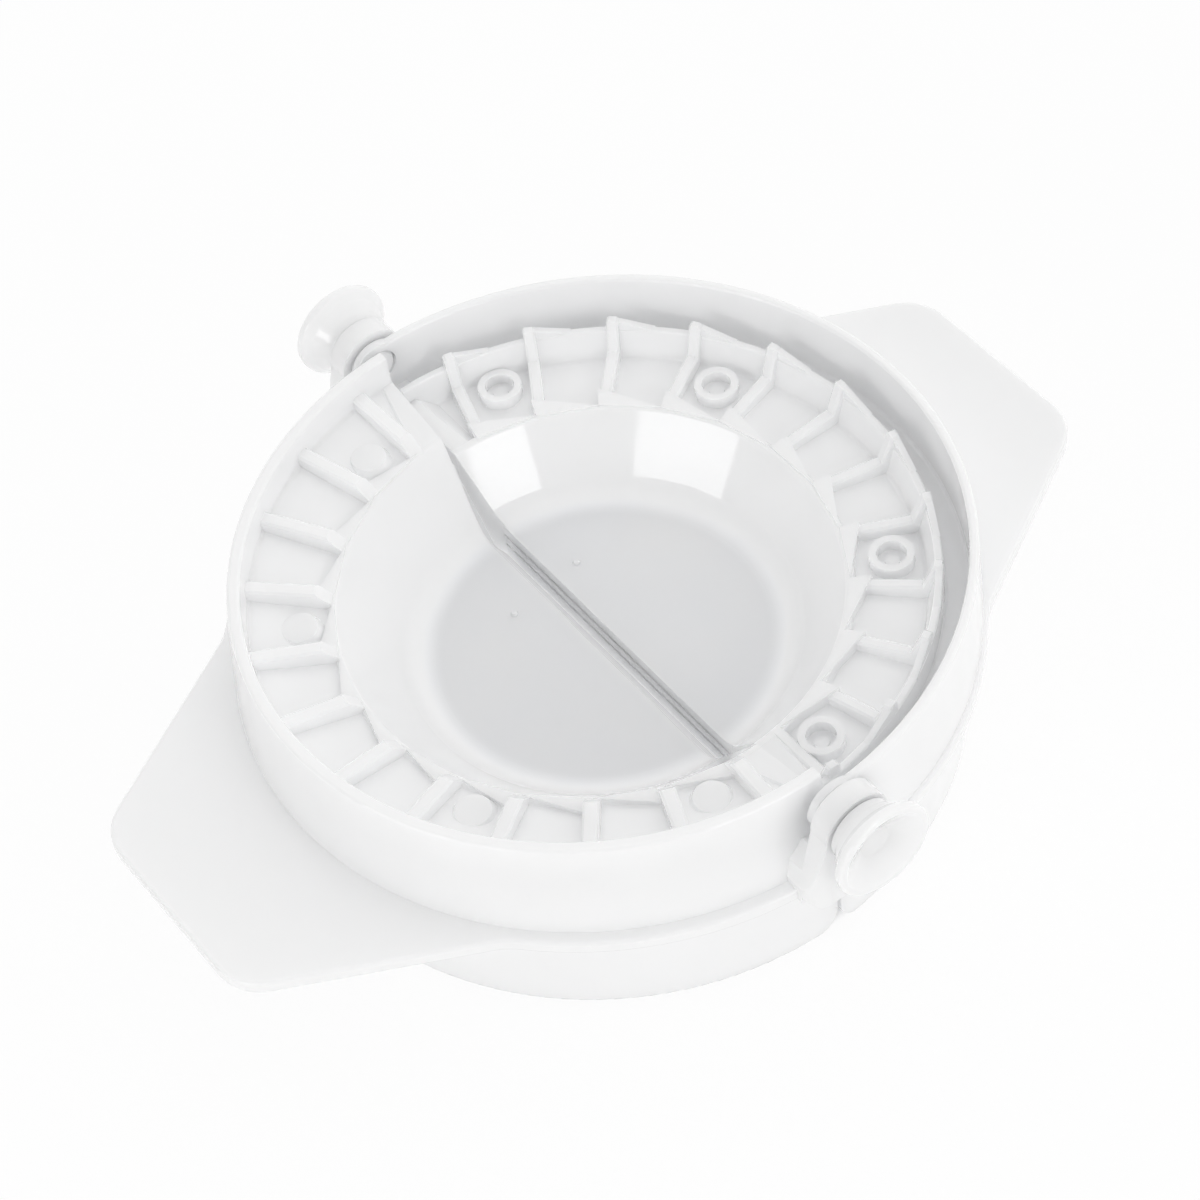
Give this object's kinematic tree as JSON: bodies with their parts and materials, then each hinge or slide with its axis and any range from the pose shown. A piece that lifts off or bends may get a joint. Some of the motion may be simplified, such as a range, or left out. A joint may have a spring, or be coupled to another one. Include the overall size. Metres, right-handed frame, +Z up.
{
  "type": "empanada press",
  "caption": "Hinged two-half plastic dough press lying open: half bowls, radial crimp ring, wing handles and flared hinge pins.",
  "frame": {"origin": "on the table under the hinge, midway between the two pins", "axes": "+X across the socket half to its handle, +Y along the hinge, +Z up from the table"},
  "size_m": [0.1314, 0.112, 0.0335],
  "materials": {
    "rib_half": "satin natural polypropylene",
    "socket_half": "satin natural polypropylene",
    "hinge_pin": "satin natural polypropylene"
  },
  "bodies": {
    "fixed_half": {"rib_half": "rib_half", "hinge_pin_far": "hinge_pin", "hinge_pin_near": "hinge_pin"},
    "turning_half": {"socket_half": "socket_half"}
  },
  "joints": [
    {"name": "closing_hinge", "type": "hinge", "parent": "fixed_half", "child": "turning_half", "pos_m": [0, 0, 0.0268], "axis": [0, -1, 0], "range_deg": [0, 180]}
  ]
}
